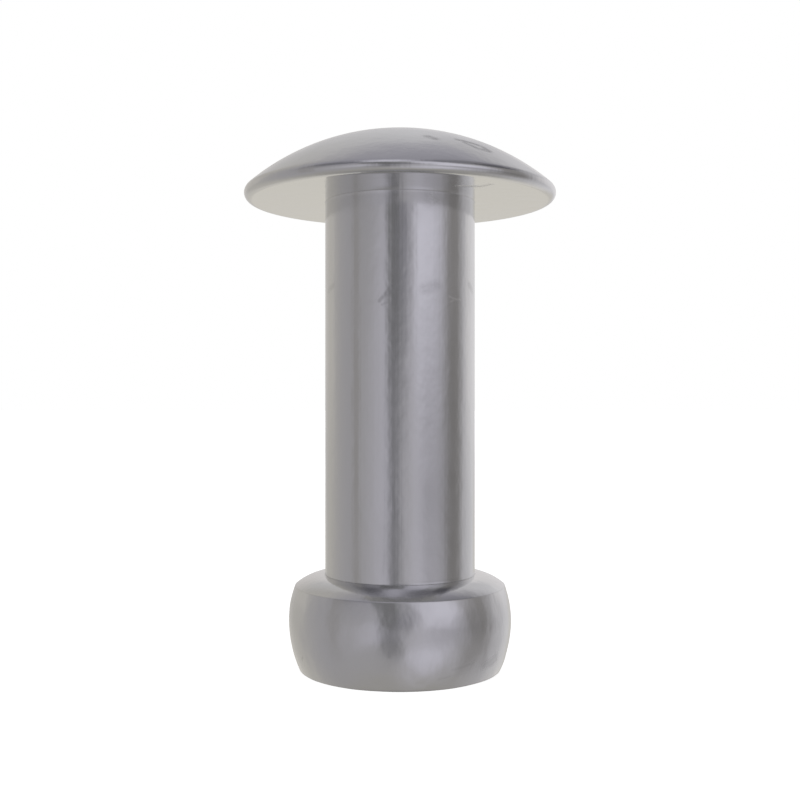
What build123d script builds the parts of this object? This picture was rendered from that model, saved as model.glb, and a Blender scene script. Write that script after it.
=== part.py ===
from build123d import *
import os

# A solid rivet after it has been driven, in millimetres.
#
# It is one piece of steel: a wide, low mushroom head, a plain round shank, and a barrel-shaped
# tail that was squeezed out of the shank's end when the rivet was set. The rivet stands on the
# flat foot of its tail. The origin is the centre of that foot, and +Z runs up the rivet's axis.
# The plates that the rivet holds together fill the grip, between the head's flat underside and
# the root of the tail.

# Shank
shank_diameter = 5.0
grip_length = 12.39           # from the tail's root up to the head's underside

# Head
head_diameter = 10.36         # over the rounded rim
head_height = 2.32            # from the flat underside to the crown
rim_radius = 0.24             # of the round between the dome and the underside

# Tail
tail_height = 3.11            # from the flat foot to the root, where the shank begins
tail_diameter = 7.39          # across the belly, the tail's widest place
belly_height = 1.57           # of the widest place above the foot
foot_diameter = 6.70          # of the flat that the rivet stands on
crease_diameter = 6.99        # of the sharp edge where the barrel side meets the shoulder
shoulder_drop = 0.355         # how far the shoulder falls away from the root to the crease

shank_radius = shank_diameter / 2
underside_height = tail_height + grip_length
crown_height = underside_height + head_height
crease_height = tail_height - shoulder_drop


def at(radius, height):
    """A point of the outline, at this distance from the rivet's axis and this height."""
    return Vector(radius, 0, height)


def head_outline():
    """The head's half section, from the crown over the rounded rim to the shank.

    The rim's round is tangent to the dome and to the flat underside, so the head's diameter,
    its height and the round leave one radius for the dome."""
    flat_radius = head_diameter / 2 - rim_radius
    rise = head_height - rim_radius
    dome_radius = (flat_radius**2 + rise**2 - rim_radius**2) / (2 * (rise - rim_radius))
    dome_centre = at(0, crown_height - dome_radius)
    rim_centre = at(flat_radius, underside_height + rim_radius)
    outward = (rim_centre - dome_centre).normalized()
    rim_top = dome_centre + outward * dome_radius
    crown = at(0, crown_height)
    flat_edge = at(flat_radius, underside_height)
    dome = TangentArc(crown, rim_top, tangent=(1, 0, 0))
    rim = TangentArc(rim_top, flat_edge, tangent=dome % 1)
    underside = Line(flat_edge, at(shank_radius, underside_height))
    return [dome, rim, underside]


def tail_outline():
    """The tail's half section, from its root at the shank down to the centre of the foot.

    The shoulder leaves the root level and rolls down to a sharp crease. Below the crease the
    side swells to the belly and draws in again to the foot: two arcs, upright where they meet."""
    root = at(shank_radius, tail_height)
    crease = at(crease_diameter / 2, crease_height)
    belly = at(tail_diameter / 2, belly_height)
    foot_edge = at(foot_diameter / 2, 0)
    shoulder = TangentArc(root, crease, tangent=(1, 0, 0))
    upper_side = TangentArc(belly, crease, tangent=(0, 0, 1))
    lower_side = TangentArc(belly, foot_edge, tangent=(0, 0, -1))
    foot = Line(foot_edge, at(0, 0))
    return [shoulder, upper_side, lower_side, foot]


def make_rivet():
    """The whole rivet as one solid, its half section turned about the axis."""
    shank_side = Line(at(shank_radius, underside_height), at(shank_radius, tail_height))
    axis_line = Line(at(0, 0), at(0, crown_height))
    outline = [*head_outline(), shank_side, *tail_outline(), axis_line]
    half_section = make_face(outline)
    return revolve(half_section, axis=Axis.Z)


def main():
    rivet = make_rivet()
    rivet.label = "rivet"
    os.makedirs("parts", exist_ok=True)
    export_step(rivet, "parts/rivet.step")


main()
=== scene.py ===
import math
import bmesh
import bpy
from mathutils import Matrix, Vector


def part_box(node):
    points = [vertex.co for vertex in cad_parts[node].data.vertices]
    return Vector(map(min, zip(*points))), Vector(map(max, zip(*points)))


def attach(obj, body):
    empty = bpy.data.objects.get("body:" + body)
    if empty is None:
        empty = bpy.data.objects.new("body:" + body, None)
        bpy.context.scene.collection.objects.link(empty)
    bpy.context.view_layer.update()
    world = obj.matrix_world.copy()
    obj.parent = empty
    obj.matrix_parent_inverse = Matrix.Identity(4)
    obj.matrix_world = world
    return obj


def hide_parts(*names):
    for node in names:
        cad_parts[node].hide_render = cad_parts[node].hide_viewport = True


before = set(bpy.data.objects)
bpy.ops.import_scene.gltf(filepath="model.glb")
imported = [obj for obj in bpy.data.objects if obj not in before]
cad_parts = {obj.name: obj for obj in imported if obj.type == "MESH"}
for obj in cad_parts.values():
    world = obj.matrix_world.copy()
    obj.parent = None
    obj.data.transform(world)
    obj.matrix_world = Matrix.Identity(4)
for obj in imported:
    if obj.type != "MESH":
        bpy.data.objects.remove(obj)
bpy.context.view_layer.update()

# The rivet is one piece of satin steel: a wide, low mushroom head with a flat underside, a plain
# round shank, and a barrel-shaped tail. The head was forged on the wire. The tail was squeezed out
# of the wire's end when the rivet was driven, so its side is a little wavy and its crease is sharp.
mm = 0.001
rivet_low, rivet_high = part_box("rivet")
head_radius = min(-rivet_low.x, -rivet_low.y, rivet_high.x, rivet_high.y)
crown_height = rivet_high.z
underside_height = 15.50 * mm
rim_radius = 0.24 * mm
shank_radius = 2.5 * mm
root_height = 3.11 * mm
crease_radius = 3.495 * mm
crease_height = 2.755 * mm
belly_radius = 3.695 * mm
belly_height = 1.57 * mm
foot_radius = 3.35 * mm
edge_round = 0.006 * mm
edge_round_steps = 3
sharp_edge_angle = math.radians(25)
sides_round = 192
spindle_radius = 0.0001 * mm
merge_gap = 0.001 * mm
shank_waviness = 0.007 * mm
tail_waviness = 0.060 * mm
wave_length = 1.0 * mm
wave_seed = 4.0
wave_detail = 1.0
wave_detail_strength = 0.4
wave_middle = 0.5
root_fade = 0.2 * mm
head_fade = 1.0 * mm


def tangent_arc(start, heading, end):
    """The arc that leaves start along heading and ends at end, in the plane of the outline.

    Points are (distance from the axis, height). Returns centre, radius, start angle and sweep."""
    chord = end - start
    heading = heading.normalized()
    left = Vector((-heading.y, heading.x))
    reach = chord.length_squared / (2 * chord.dot(left))
    centre = start + left * reach
    first = start - centre
    sweep = 2 * math.atan2(heading.x * chord.y - heading.y * chord.x, heading.dot(chord))
    return centre, abs(reach), math.atan2(first.y, first.x), sweep


def other_way(arc):
    """The same arc from its end back to its start."""
    centre, radius, start, sweep = arc
    return centre, radius, start + sweep, -sweep


crown = Vector((0, crown_height))
flat_edge = Vector((head_radius - rim_radius, underside_height))
rim_centre = flat_edge + Vector((0, rim_radius))
rise = crown_height - rim_centre.y
dome_radius = (rim_centre.x**2 + rise**2 - rim_radius**2) / (2 * (rise - rim_radius))
dome_centre = Vector((0, crown_height - dome_radius))
outward = (rim_centre - dome_centre).normalized()
rim_top = dome_centre + outward * dome_radius
neck = Vector((shank_radius, underside_height))
root = Vector((shank_radius, root_height))
crease = Vector((crease_radius, crease_height))
belly = Vector((belly_radius, belly_height))
foot_edge = Vector((foot_radius, 0))
foot_centre = Vector((0, 0))
level = Vector((1, 0))
upright = Vector((0, 1))

# Each stretch of the outline is an arc or a straight line, with the number of points along it. They
# all run the same way, from the crown down to the foot, so that the turned faces match.
arcs = {
    "Dome": (tangent_arc(crown, level, rim_top), 48),
    "Rim": (tangent_arc(rim_top, Vector((outward.y, -outward.x)), flat_edge), 20),
    "Shoulder": (tangent_arc(root, level, crease), 20),
    "Upper Side": (other_way(tangent_arc(belly, upright, crease)), 24),
    "Lower Side": (tangent_arc(belly, -upright, foot_edge), 24),
}
lines = {
    "Underside": (flat_edge, neck, 30),
    "Shank": (neck, root, 90),
    "Foot": (foot_edge, foot_centre, 16),
}

lathe = bpy.data.node_groups.new("rivet_lathe", "GeometryNodeTree")
lathe.interface.new_socket("Geometry", in_out="OUTPUT", socket_type="NodeSocketGeometry")
lathe_sizes = lathe.nodes.new("NodeGroupInput")
lathe_values = {}


def lathe_size(name, value):
    """Adds a named input to the lathe, notes the value it gets, and returns its socket."""
    if isinstance(value, int):
        kind = "NodeSocketInt"
    elif isinstance(value, float):
        kind = "NodeSocketFloat"
    else:
        kind = "NodeSocketVector"
        value = (value.x, value.y, 0.0)
    socket = lathe.interface.new_socket(name, in_out="INPUT", socket_type=kind)
    lathe_values[socket.identifier] = value
    return lathe_sizes.outputs[name]


def lathe_node(kind, links=None, values=None, **settings):
    """Adds a node to the lathe, sets it up, and links or fills its inputs by name or number."""
    new = lathe.nodes.new(kind)
    for setting, choice in settings.items():
        setattr(new, setting, choice)
    for name, source in (links or {}).items():
        lathe.links.new(source, new.inputs[name])
    for name, value in (values or {}).items():
        new.inputs[name].default_value = value
    return new


stretches = lathe_node("GeometryNodeJoinGeometry")
for name, ((centre, radius, start, sweep), steps) in arcs.items():
    arc = lathe_node("GeometryNodeCurveArc", mode="RADIUS", links={
        "Resolution": lathe_size(name + " Steps", steps),
        "Radius": lathe_size(name + " Radius", radius),
        "Start Angle": lathe_size(name + " Start", start),
        "Sweep Angle": lathe_size(name + " Sweep", sweep),
    })
    placed = lathe_node("GeometryNodeTransform", links={
        "Geometry": arc.outputs["Curve"],
        "Translation": lathe_size(name + " Centre", centre),
    })
    lathe.links.new(placed.outputs["Geometry"], stretches.inputs["Geometry"])
for name, (start, end, steps) in lines.items():
    line = lathe_node("GeometryNodeCurvePrimitiveLine", mode="POINTS", links={
        "Start": lathe_size(name + " Start", start),
        "End": lathe_size(name + " End", end),
    })
    stepped = lathe_node("GeometryNodeResampleCurve", links={
        "Curve": line.outputs["Curve"],
        "Count": lathe_size(name + " Steps", steps),
    })
    lathe.links.new(stepped.outputs["Curve"], stretches.inputs["Geometry"])

# The outline is turned round a spindle so thin that its poles close when near points merge.
spindle = lathe_node("GeometryNodeCurvePrimitiveCircle", links={
    "Resolution": lathe_size("Sides Round", sides_round),
}, values={"Radius": spindle_radius})
upright_spindle = lathe_node("GeometryNodeSetCurveNormal", mode="Z_UP", links={
    "Curve": spindle.outputs["Curve"],
})
turned_over = lathe_node("GeometryNodeTransform", links={
    "Geometry": stretches.outputs["Geometry"],
}, values={"Rotation": (math.pi, 0, 0)})
turned = lathe_node("GeometryNodeCurveToMesh", links={
    "Curve": upright_spindle.outputs["Curve"],
    "Profile Curve": turned_over.outputs["Geometry"],
})
closed = lathe_node("GeometryNodeMergeByDistance", links={
    "Geometry": turned.outputs["Mesh"],
}, values={"Distance": merge_gap})

# The driven tail's side waves gently in and out, and the drawn shank's hardly at all. The waves
# fade out just below the head.
point = lathe_node("GeometryNodeInputPosition")
point_parts = lathe_node("ShaderNodeSeparateXYZ", links={0: point.outputs["Position"]})
inward = lathe_node("ShaderNodeVectorMath", operation="MULTIPLY", links={
    0: point.outputs["Position"],
}, values={1: (-1, -1, 0)})
inward_unit = lathe_node("ShaderNodeVectorMath", operation="NORMALIZE", links={
    0: inward.outputs["Vector"],
})
waves_per_metre = lathe_node("ShaderNodeMath", operation="DIVIDE", links={
    1: lathe_size("Wave Length", wave_length),
}, values={0: 1.0})
waves = lathe_node("ShaderNodeTexNoise", noise_dimensions="4D", links={
    "Vector": point.outputs["Position"],
    "W": lathe_size("Wave Seed", wave_seed),
    "Scale": waves_per_metre.outputs["Value"],
}, values={"Detail": wave_detail, "Roughness": wave_detail_strength})
near_tail = lathe_node("ShaderNodeMapRange", interpolation_type="SMOOTHSTEP", links={
    "Value": point_parts.outputs["Z"],
    "To Min": lathe_size("Tail Waviness", tail_waviness),
    "To Max": lathe_size("Shank Waviness", shank_waviness),
}, values={"From Min": crease_height, "From Max": root_height + root_fade})
below_head = lathe_node("ShaderNodeMapRange", interpolation_type="SMOOTHSTEP", links={
    "Value": point_parts.outputs["Z"],
    "To Min": near_tail.outputs["Result"],
}, values={"From Min": underside_height - head_fade, "From Max": underside_height, "To Max": 0.0})
in_and_out = lathe_node("ShaderNodeMath", operation="SUBTRACT", links={
    0: waves.outputs[0],
}, values={1: wave_middle})
lean = lathe_node("ShaderNodeMath", operation="MULTIPLY", links={
    0: in_and_out.outputs["Value"],
    1: below_head.outputs["Result"],
})
lean_inward = lathe_node("ShaderNodeVectorMath", operation="SCALE", links={
    "Vector": inward_unit.outputs["Vector"],
    "Scale": lean.outputs["Value"],
})
waved = lathe_node("GeometryNodeSetPosition", links={
    "Geometry": closed.outputs["Geometry"],
    "Offset": lean_inward.outputs["Vector"],
})
smooth = lathe_node("GeometryNodeSetShadeSmooth", links={"Geometry": waved.outputs["Geometry"]})
real_mesh = lathe_node("GeometryNodeRealizeInstances", links={
    "Geometry": smooth.outputs["Geometry"],
})
steel = bpy.data.materials.new("satin_steel")
coated = lathe_node("GeometryNodeSetMaterial", links={
    "Geometry": real_mesh.outputs["Geometry"],
}, values={"Material": steel})
lathe_node("NodeGroupOutput", links={"Geometry": coated.outputs["Geometry"]})

rivet = bpy.data.objects.new("solid_rivet", bpy.data.meshes.new("solid_rivet"))
bpy.context.scene.collection.objects.link(rivet)
turning = rivet.modifiers.new("turning", "NODES")
turning.node_group = lathe
for identifier, value in lathe_values.items():
    turning[identifier] = value
edge_rounds = rivet.modifiers.new("edge_rounds", "BEVEL")
edge_rounds.limit_method = "ANGLE"
edge_rounds.angle_limit = sharp_edge_angle
edge_rounds.width = edge_round
edge_rounds.segments = edge_round_steps
finished = rivet.evaluated_get(bpy.context.evaluated_depsgraph_get())
rivet_mesh = bpy.data.meshes.new_from_object(finished)
rivet.modifiers.clear()
rivet.data = rivet_mesh
skin = bmesh.new()
skin.from_mesh(rivet_mesh)
bmesh.ops.recalc_face_normals(skin, faces=skin.faces)
skin.to_mesh(rivet_mesh)
skin.free()


def feed(tree, socket, value):
    """Links value into socket if it is another node's output, and else writes it there."""
    if isinstance(value, bpy.types.NodeSocket):
        tree.links.new(value, socket)
    else:
        socket.default_value = value


def calc(tree, operation, first, second=0.0, third=0.0):
    """One Math node. Each value is a number or another node's output."""
    new = tree.nodes.new("ShaderNodeMath")
    new.operation = operation
    for socket, value in zip(new.inputs, (first, second, third)):
        feed(tree, socket, value)
    return new.outputs[0]


def ease(tree, value, start, end, low=0.0, high=1.0):
    """Goes smoothly from low to high while value goes from start to end."""
    new = tree.nodes.new("ShaderNodeMapRange")
    new.interpolation_type = "SMOOTHSTEP"
    feed(tree, new.inputs["Value"], value)
    feed(tree, new.inputs["From Min"], start)
    feed(tree, new.inputs["From Max"], end)
    feed(tree, new.inputs["To Min"], low)
    feed(tree, new.inputs["To Max"], high)
    return new.outputs["Result"]


def mix(tree, share, first, second):
    """A colour that goes from first to second with share."""
    new = tree.nodes.new("ShaderNodeMix")
    new.data_type = "RGBA"
    feed(tree, new.inputs[0], share)
    feed(tree, new.inputs[6], first)
    feed(tree, new.inputs[7], second)
    return new.outputs[2]


def noise(tree, vector, scale, detail=2.0):
    """Soft noise from 0 to 1."""
    new = tree.nodes.new("ShaderNodeTexNoise")
    feed(tree, new.inputs["Vector"], vector)
    new.inputs["Scale"].default_value = scale
    new.inputs["Detail"].default_value = detail
    return new.outputs[0]


def stretch(tree, vector, scale):
    """The same places, scaled along each axis."""
    new = tree.nodes.new("ShaderNodeMapping")
    feed(tree, new.inputs["Vector"], vector)
    new.inputs["Scale"].default_value = scale
    return new.outputs["Vector"]


def vector_calc(tree, operation, first, second=(0, 0, 0), result="Vector"):
    """One Vector Math node. Each value is a vector or another node's output."""
    new = tree.nodes.new("ShaderNodeVectorMath")
    new.operation = operation
    feed(tree, new.inputs[0], first)
    feed(tree, new.inputs[1], second)
    return new.outputs[result]


def split(tree, vector):
    """The X, Y and Z of each vector, as outputs with those names."""
    new = tree.nodes.new("ShaderNodeSeparateXYZ")
    feed(tree, new.inputs[0], vector)
    return new.outputs


def near_line(tree, vector, start, end):
    """How far each place is from the straight line between two places."""
    run = end - start
    from_start = vector_calc(tree, "SUBTRACT", vector, start)
    dot = vector_calc(tree, "DOT_PRODUCT", from_start, run, "Value")
    along = calc(tree, "MULTIPLY", dot, run.length**-2)
    along.node.use_clamp = True
    nearest = tree.nodes.new("ShaderNodeVectorMath")
    nearest.operation = "SCALE"
    nearest.inputs[0].default_value = run
    feed(tree, nearest.inputs["Scale"], along)
    return vector_calc(tree, "DISTANCE", from_start, nearest.outputs["Vector"], "Value")


def place_on(turn, radius, height):
    """The place at a turn to the right from the front, in degrees, and a distance from the axis."""
    angle = math.radians(turn)
    return Vector((radius * math.sin(angle), -radius * math.cos(angle), height))


def on_dome(turn, radius):
    """A place on the dome."""
    return place_on(turn, radius, dome_centre.y + math.sqrt(dome_radius**2 - radius**2))


def on_underside(turn, radius):
    """A place on the head's flat underside."""
    return place_on(turn, radius, underside_height)


def on_shank(turn, height):
    """A place on the shank."""
    return place_on(turn, shank_radius, height)


def on_tail(turn, height):
    """A place on the tail's barrel side."""
    arc = arcs["Upper Side" if height > belly_height else "Lower Side"][0]
    centre, radius = arc[:2]
    return place_on(turn, centre.x + math.sqrt(radius**2 - (height - centre.y)**2), height)


steel_colour = (0.64, 0.64, 0.65, 1)
# A brighter colour for the head's underside, a painted sheen.
underside_sheen_colour = (0.78, 0.78, 0.78, 1)
# The colour of the dark marks and of the painted shade in the corners.
mark_and_shade_colour = (0.25, 0.25, 0.25, 1)
glint_colour = (0.90, 0.90, 0.90, 1)
underside_sheen_edge = 0.02 * mm
underside_sheen_rim_edge = 0.05 * mm
steel_roughness = 0.135
underside_roughness = 0.10
extra_tail_roughness = 0.050
smudge_roughness = 0.07
smudges_per_metre = 450.0
smudge_detail = 3.0
smudge_start = 0.42
smudge_full = 0.68
worn_and_shaded_roughness = 0.3
corner_shade_width = 0.04 * mm
mark_core = 0.1
patch_size = 0.14 * mm
patch_start = 0.35
patch_full = 0.55
patch_least = 0.6
grain_size = 0.09 * mm
grain_stretch = (1, 1, 0.005)
grain_depth = 0.0020 * mm
mottle_size = 0.45 * mm
mottle_stretch = (1, 1, 0.6)
mottle_depth = 0.0100 * mm
extra_tail_mottle = 0.0030 * mm

steel.use_nodes = True
surface = steel.node_tree
finish = surface.nodes["Principled BSDF"]
finish.inputs["Metallic"].default_value = 1.0
place = surface.nodes.new("ShaderNodeTexCoord").outputs["Object"]
height = split(surface, place)["Z"]
level_place = vector_calc(surface, "MULTIPLY", place, (1, 1, 0))
from_axis = vector_calc(surface, "LENGTH", level_place, result="Value")
section = surface.nodes.new("ShaderNodeCombineXYZ")
feed(surface, section.inputs["X"], from_axis)
feed(surface, section.inputs["Y"], height)
section_place = section.outputs["Vector"]
tail_share = ease(surface, height, root_height, crease_height)

# The head's flat underside has a painted sheen: its colour is brighter than the rest, and it is smoother
# too.
off_level = calc(surface, "ABSOLUTE", calc(surface, "SUBTRACT", height, underside_height))
near_flat = ease(surface, off_level, underside_sheen_edge, 0.0)
off_shank = ease(surface, from_axis, shank_radius, shank_radius + underside_sheen_edge)
off_rim = ease(surface, from_axis, flat_edge.x + underside_sheen_rim_edge, flat_edge.x - underside_sheen_rim_edge)
underside_sheen = calc(surface, "MULTIPLY", near_flat, calc(surface, "MULTIPLY", off_shank, off_rim))

# Thin dark lines of painted shade run all the way round the corners, the crease and the foot's edge.
corner_shades = ((neck, 0.25), (root, 0.40), (crease, 0.10), (foot_edge, 0.60))
corner_shade = 0.0
for corner, strength in corner_shades:
    off_corner = vector_calc(surface, "DISTANCE", section_place, (corner.x, corner.y, 0), "Value")
    corner_shade = calc(surface, "MAXIMUM", corner_shade, ease(surface, off_corner, corner_shade_width, 0.0, 0.0, strength))

# Handling and setting left a few small marks. Each is a line of places, with half its width and how
# dark or bright it is. The bright ones are scratches with a painted glint.
dark_marks = (
    ((on_dome(13, 3.66 * mm), on_dome(16, 3.84 * mm)), 0.24 * mm, 0.44),
    ((on_dome(28, 3.75 * mm), on_dome(33, 3.84 * mm), on_dome(38, 4.03 * mm), on_dome(39, 4.32 * mm)),
     0.19 * mm, 0.52),
    ((on_dome(30, 3.96 * mm), on_dome(33, 4.28 * mm), on_dome(37, 4.38 * mm)), 0.16 * mm, 0.48),
    ((on_dome(37, 4.30 * mm), on_dome(38, 4.38 * mm)), 0.17 * mm, 0.65),
    ((on_underside(34, 3.57 * mm), on_underside(40, 3.83 * mm), on_underside(40, 4.31 * mm)),
     0.18 * mm, 0.40),
    ((on_underside(-17, 2.88 * mm), on_underside(-5, 3.28 * mm)), 0.10 * mm, 0.10),
    ((on_shank(-15, 12.02 * mm), on_shank(-9, 12.32 * mm), on_shank(-6, 12.49 * mm)),
     0.10 * mm, 0.30),
    ((on_shank(-9, 12.20 * mm), on_shank(-6, 12.40 * mm)), 0.08 * mm, 0.22),
    ((on_shank(-13, 11.90 * mm), on_shank(-10, 11.96 * mm)), 0.07 * mm, 0.20),
    ((on_shank(18, 12.40 * mm), on_shank(28, 12.54 * mm)), 0.29 * mm, 0.19),
    ((on_shank(64, 12.66 * mm), on_shank(71, 12.50 * mm)), 0.18 * mm, 0.22),
    ((on_shank(-60, 12.62 * mm), on_shank(-69, 12.48 * mm)), 0.17 * mm, 0.16),
    ((on_tail(48, 0.56 * mm), on_tail(58, 0.76 * mm)), 0.20 * mm, 0.16),
    ((on_tail(52, 0.50 * mm), on_tail(59, 0.64 * mm)), 0.12 * mm, 0.20),
    ((on_tail(27, 0.65 * mm), on_tail(39, 0.76 * mm)), 0.08 * mm, 0.12),
    ((on_tail(20, 0.38 * mm), on_tail(26, 0.45 * mm)), 0.07 * mm, 0.10),
    ((on_tail(-62, 0.58 * mm), on_tail(-60, 0.70 * mm)), 0.07 * mm, 0.20),
    ((on_tail(-5, 1.14 * mm), on_tail(-5, 1.28 * mm)), 0.09 * mm, 0.25),
)
# Scratches whose glint is painted in as a brighter colour.
glinting_scratches = (
    ((on_underside(30, 3.55 * mm), on_underside(35, 3.76 * mm), on_underside(38, 3.86 * mm)),
     0.16 * mm, 1.00),
    ((on_shank(39, 12.20 * mm), on_shank(45, 12.13 * mm), on_shank(51, 12.13 * mm)), 0.06 * mm, 0.22),
    ((on_shank(40, 12.04 * mm), on_shank(43, 12.09 * mm)), 0.06 * mm, 0.20),
)


def lines_of(tree, vector, marks):
    """How strong the strongest of the marks is at each place."""
    strongest = 0.0
    for stops, half_width, strength in marks:
        for start, end in zip(stops, stops[1:]):
            off_line = near_line(tree, vector, start, end)
            here = ease(tree, off_line, half_width, mark_core * half_width, 0.0, strength)
            strongest = calc(tree, "MAXIMUM", strongest, here)
    return strongest


# The painted corner shade and the marks are broken up in small patches.
patch_noise = noise(surface, place, 1 / patch_size)
patches = ease(surface, patch_noise, patch_start, patch_full, patch_least, 1.0)
marks_and_shade = calc(surface, "MAXIMUM", corner_shade, lines_of(surface, place, dark_marks))
marks_and_shade = calc(surface, "MULTIPLY", marks_and_shade, patches)
scratch_glint = calc(surface, "MULTIPLY", lines_of(surface, place, glinting_scratches), patches)
# The painted sheen on the head's underside.
colour = mix(surface, underside_sheen, steel_colour, underside_sheen_colour)
# The painted glint of the scratches.
colour = mix(surface, scratch_glint, colour, glint_colour)
# Here the painted corner shade and the dark marks darken the colour.
feed(surface, finish.inputs["Base Color"], mix(surface, marks_and_shade, colour, mark_and_shade_colour))

# The steel is smoothest on the head's underside and dullest on the tail. Handling left soft smudges,
# and the marks and the painted corner shade are rough.
smudge_noise = noise(surface, place, smudges_per_metre, smudge_detail)
smudges = ease(surface, smudge_noise, smudge_start, smudge_full)
roughness = ease(surface, underside_sheen, 0.0, 1.0, steel_roughness, underside_roughness)
roughness = calc(surface, "MULTIPLY_ADD", tail_share, extra_tail_roughness, roughness)
roughness = calc(surface, "MULTIPLY_ADD", smudges, smudge_roughness, roughness)
worn_and_shaded = calc(surface, "MAXIMUM", marks_and_shade, scratch_glint)
roughness = calc(surface, "MULTIPLY_ADD", worn_and_shaded, worn_and_shaded_roughness, roughness)
feed(surface, finish.inputs["Roughness"], roughness)

# The whole skin is faintly mottled, and the driven tail a little more, where the metal bunched up
# as it spread. Above the tail the drawn wire keeps a fine straight grain.
mottle_here = calc(surface, "MULTIPLY_ADD", tail_share, extra_tail_mottle, mottle_depth)
mottle = noise(surface, stretch(surface, place, mottle_stretch), 1 / mottle_size)
mottle = calc(surface, "MULTIPLY", mottle, mottle_here)
grain = noise(surface, stretch(surface, place, grain_stretch), 1 / grain_size)
grain_here = ease(surface, height, root_height, crease_height, grain_depth, 0.0)
relief = calc(surface, "MULTIPLY_ADD", grain, grain_here, mottle)
bump = surface.nodes.new("ShaderNodeBump")
bump.inputs["Strength"].default_value = 1.0
bump.inputs["Distance"].default_value = 1.0
feed(surface, bump.inputs["Height"], relief)
feed(surface, finish.inputs["Normal"], bump.outputs["Normal"])

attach(rivet, "root")
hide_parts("rivet")

# The light tent is a wide white shell round the rivet, lit from outside, with poles, flags and a
# front opening that the polished steel mirrors as bands. It is far from the rivet and lights it
# softly from every side. The camera looks through it.
tent_radius = 1.0
tent_sides = 96
tent_rings = 48
tent_centre = Vector((0, 0, 9 * mm))
tent_cloth = (0.44, 0.43, 0.44, 1)

tent = bpy.data.objects.new("light_tent", bpy.data.meshes.new("light_tent"))
bpy.context.scene.collection.objects.link(tent)
shell = bmesh.new()
bmesh.ops.create_uvsphere(shell, u_segments=tent_sides, v_segments=tent_rings, radius=tent_radius)
bmesh.ops.translate(shell, vec=tent_centre, verts=shell.verts)
bmesh.ops.reverse_faces(shell, faces=shell.faces)
shell.to_mesh(tent.data)
shell.free()

cloth = bpy.data.materials.new("tent_cloth")
cloth.use_nodes = True
tent_tree = cloth.node_tree
tent_tree.nodes.clear()
tent_place = tent_tree.nodes.new("ShaderNodeTexCoord").outputs["Object"]
from_centre = vector_calc(tent_tree, "SUBTRACT", tent_place, tent_centre)
sight = split(tent_tree, vector_calc(tent_tree, "NORMALIZE", from_centre))
to_front = calc(tent_tree, "MULTIPLY", sight["Y"], -1.0)
turn_angle = calc(tent_tree, "DEGREES", calc(tent_tree, "ARCTAN2", sight["X"], to_front))
rise_angle = calc(tent_tree, "DEGREES", calc(tent_tree, "ARCSINE", sight["Z"]))
half_turn = 180.0
tent_tone = tent_cloth


def hang(at, half, soft, tone, tint, slant=0.0):
    """Hangs one soft-edged card in the tent, in front of those that hang there already.

    All in degrees, seen from the rivet: at is how far round to the right from the camera's side,
    and how far up from level. Half is half the width and half the height, and soft is how far the
    sides and the ends fade. Slant is the rise for each degree to the right."""
    turned = calc(tent_tree, "SUBTRACT", turn_angle, at[0])
    turned = calc(tent_tree, "WRAP", turned, half_turn, -half_turn)
    middle = calc(tent_tree, "MULTIPLY_ADD", turned, slant, at[1])
    off_side = calc(tent_tree, "ABSOLUTE", turned)
    off_end = calc(tent_tree, "ABSOLUTE", calc(tent_tree, "SUBTRACT", rise_angle, middle))
    in_width = ease(tent_tree, off_side, half[0] + soft[0], half[0] - soft[0])
    in_height = ease(tent_tree, off_end, half[1] + soft[1], half[1] - soft[1])
    colour = [tone * part for part in tint]
    return mix(tent_tree, calc(tent_tree, "MULTIPLY", in_width, in_height), tent_tone, (*colour, 1))


# A card this wide has no sides: it goes all the way round.
all_round = 400
plain = (1.0, 0.99, 1.01)
mild = (1.03, 0.99, 0.97)
warm = (1.06, 1.02, 0.93)
cool = (0.98, 0.96, 1.06)
# The floor cloth, with a painted shadow of the rivet in its middle, and the roof.
tent_tone = hang((0, -90), (all_round, 40), (5, 25), 0.40, warm)
# A painted shadow of the rivet, darker in the middle of the floor cloth.
tent_tone = hang((0, -90), (all_round, 20), (5, 15), 0.30, plain)
tent_tone = hang((0, 90), (all_round, 40), (5, 5), 0.40, cool)
# The walls behind the rivet, with their rail.
tent_tone = hang((-170, -10), (20, 65), (5, 10), 0.60, plain)
tent_tone = hang((180, -35), (40, 20), (30, 10), 0.75, warm)
tent_tone = hang((180, 10), (60, 12), (10, 5), 0.70, mild)
# The lit walls at the right back and the left back.
tent_tone = hang((145, 5), (15, 35), (55, 20), 0.93, plain, slant=0.5)
tent_tone = hang((-135, 0), (20, 55), (35, 20), 0.55, warm)
# The low sill behind the rivet, in front of the walls.
tent_tone = hang((180, -12), (25, 7), (15, 4), 0.62, warm)
# The top light, with a dark beam on each side of it.
tent_tone = hang((-5, 45), (45, 25), (10, 15), 0.70, cool)
tent_tone = hang((-55, 40), (25, 18), (10, 20), 0.20, cool)
tent_tone = hang((75, 57), (60, 15), (25, 10), 0.25, cool)
# The flag and its top rail at the right, and the pole at the left.
tent_tone = hang((88, 12), (16, 45), (10, 15), 0.30, mild, slant=0.5)
tent_tone = hang((90, 45), (20, 10), (5, 2), 0.15, cool)
tent_tone = hang((-70, 5), (5, 30), (5, 15), 0.35, mild)
# The strip light at the left. The softbox at the right, its brighter middle, its low spill and
# the bar under it.
tent_tone = hang((-18, 0), (15, 14), (35, 5), 0.65, cool, slant=0.3)
tent_tone = hang((44, 13), (23, 20), (20, 10), 0.80, cool, slant=-0.2)
tent_tone = hang((38, 7), (12, 5), (6, 5), 0.87, cool)
tent_tone = hang((30, -25), (20, 20), (25, 20), 0.75, cool, slant=0.3)
tent_tone = hang((65, -4), (35, 1), (15, 20), 0.15, mild)
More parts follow.
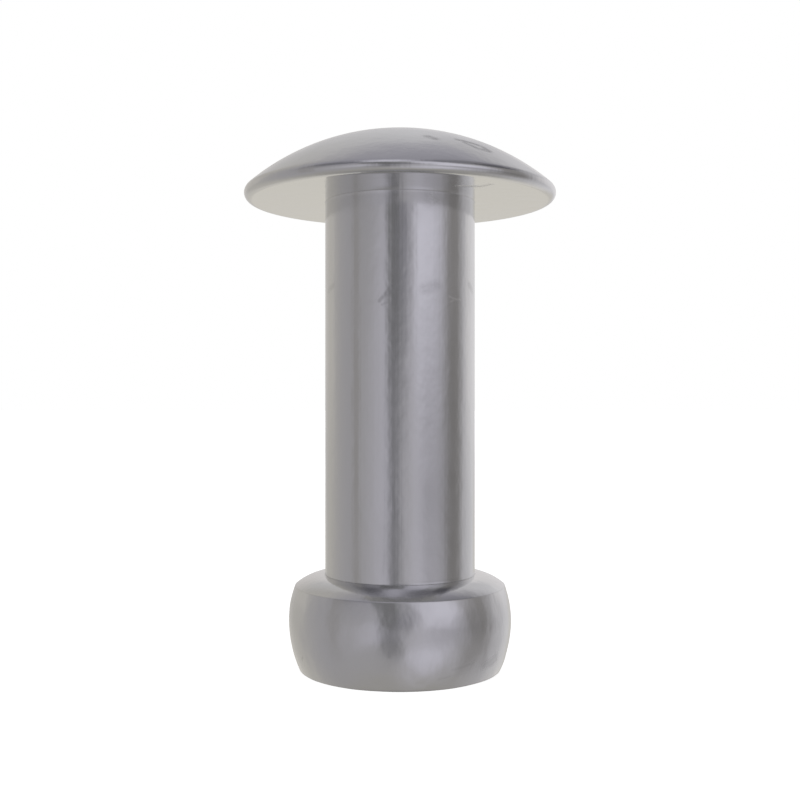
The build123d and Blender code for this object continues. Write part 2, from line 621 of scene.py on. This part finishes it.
# The front opening, its right edge, its left flap, and the slit that goes down from it.
tent_tone = hang((-5, 20), (14, 18), (5, 8), 0.30, plain)
tent_tone = hang((5, 10), (10, 5), (10, 5), 0.30, cool)
tent_tone = hang((-17, 25), (15, 10), (5, 10), 0.20, plain, slant=-0.4)
tent_tone = hang((-9, -7), (5, 20), (15, 20), 0.10, plain, slant=0.2)
glow = tent_tree.nodes.new("ShaderNodeEmission")
feed(tent_tree, glow.inputs["Color"], tent_tone)
tent_end = tent_tree.nodes.new("ShaderNodeOutputMaterial")
feed(tent_tree, tent_end.inputs["Surface"], glow.outputs["Emission"])
cloth.cycles.emission_sampling = "NONE"
tent.data.materials.append(cloth)
tent.visible_camera = False

# The floor is a plain white board under the rivet. It shows white to the camera and keeps the
# rivet's soft shadow. The steel mirrors the tent's own floor cloth in its place.
floor_radius = 0.9
floor_sides = 96
floor_drop = 0.01 * mm
floor_paint = (0.8, 0.8, 0.8, 1)
floor_glow = 0.8

floor = bpy.data.objects.new("floor", bpy.data.meshes.new("floor"))
bpy.context.scene.collection.objects.link(floor)
board = bmesh.new()
bmesh.ops.create_circle(board, cap_ends=True, segments=floor_sides, radius=floor_radius)
bmesh.ops.translate(board, vec=(0, 0, -floor_drop), verts=board.verts)
board.to_mesh(floor.data)
board.free()


def white_to_view(tree, strength):
    """White light that only the camera, mirrors and glass see."""
    seen_by = tree.nodes.new("ShaderNodeLightPath")
    seen = calc(tree, "ADD", seen_by.outputs["Is Camera Ray"], seen_by.outputs["Is Glossy Ray"])
    seen = calc(tree, "MINIMUM", calc(tree, "ADD", seen, seen_by.outputs["Is Transmission Ray"]), 1.0)
    return calc(tree, "MULTIPLY", seen, strength)


paint = bpy.data.materials.new("white_board")
paint.use_nodes = True
board_tree = paint.node_tree
board_tree.nodes.clear()
matt = board_tree.nodes.new("ShaderNodeBsdfDiffuse")
matt.inputs["Color"].default_value = floor_paint
seen_white = board_tree.nodes.new("ShaderNodeEmission")
feed(board_tree, seen_white.inputs["Strength"], white_to_view(board_tree, floor_glow))
both = board_tree.nodes.new("ShaderNodeAddShader")
feed(board_tree, both.inputs[0], matt.outputs["BSDF"])
feed(board_tree, both.inputs[1], seen_white.outputs["Emission"])
board_end = board_tree.nodes.new("ShaderNodeOutputMaterial")
feed(board_tree, board_end.inputs["Surface"], both.outputs["Shader"])
paint.cycles.emission_sampling = "NONE"
floor.data.materials.append(paint)
floor.visible_glossy = False

# The backdrop is plain white, as if of paper. Only the camera, glass and metal see it, so it adds
# no light to matt surfaces.
backdrop_glow = 1.0

world = bpy.data.worlds.new("white_backdrop")
world.use_nodes = True
backdrop = world.node_tree
background = backdrop.nodes["Background"]
background.inputs["Color"].default_value = (1, 1, 1, 1)
feed(backdrop, background.inputs["Strength"], white_to_view(backdrop, backdrop_glow))
bpy.context.scene.world = world
bpy.context.scene.view_settings.view_transform = "Standard"

# The camera stands close to the rivet and looks level at the middle of its height, so that it sees
# the head's underside and the tail's shoulder at the same time.
camera_distance = 37.24 * mm
camera_height = 8.911 * mm
lens_length = 50
film_width = 36
nearest_seen = 1 * mm
farthest_seen = 10

camera_data = bpy.data.cameras.new("camera")
camera_data.lens = lens_length
camera_data.sensor_width = film_width
camera_data.clip_start = nearest_seen
camera_data.clip_end = farthest_seen
camera = bpy.data.objects.new("camera", camera_data)
bpy.context.scene.collection.objects.link(camera)
camera.location = (0, -camera_distance, camera_height)
camera.rotation_euler = (math.radians(90), 0, 0)
bpy.context.scene.camera = camera
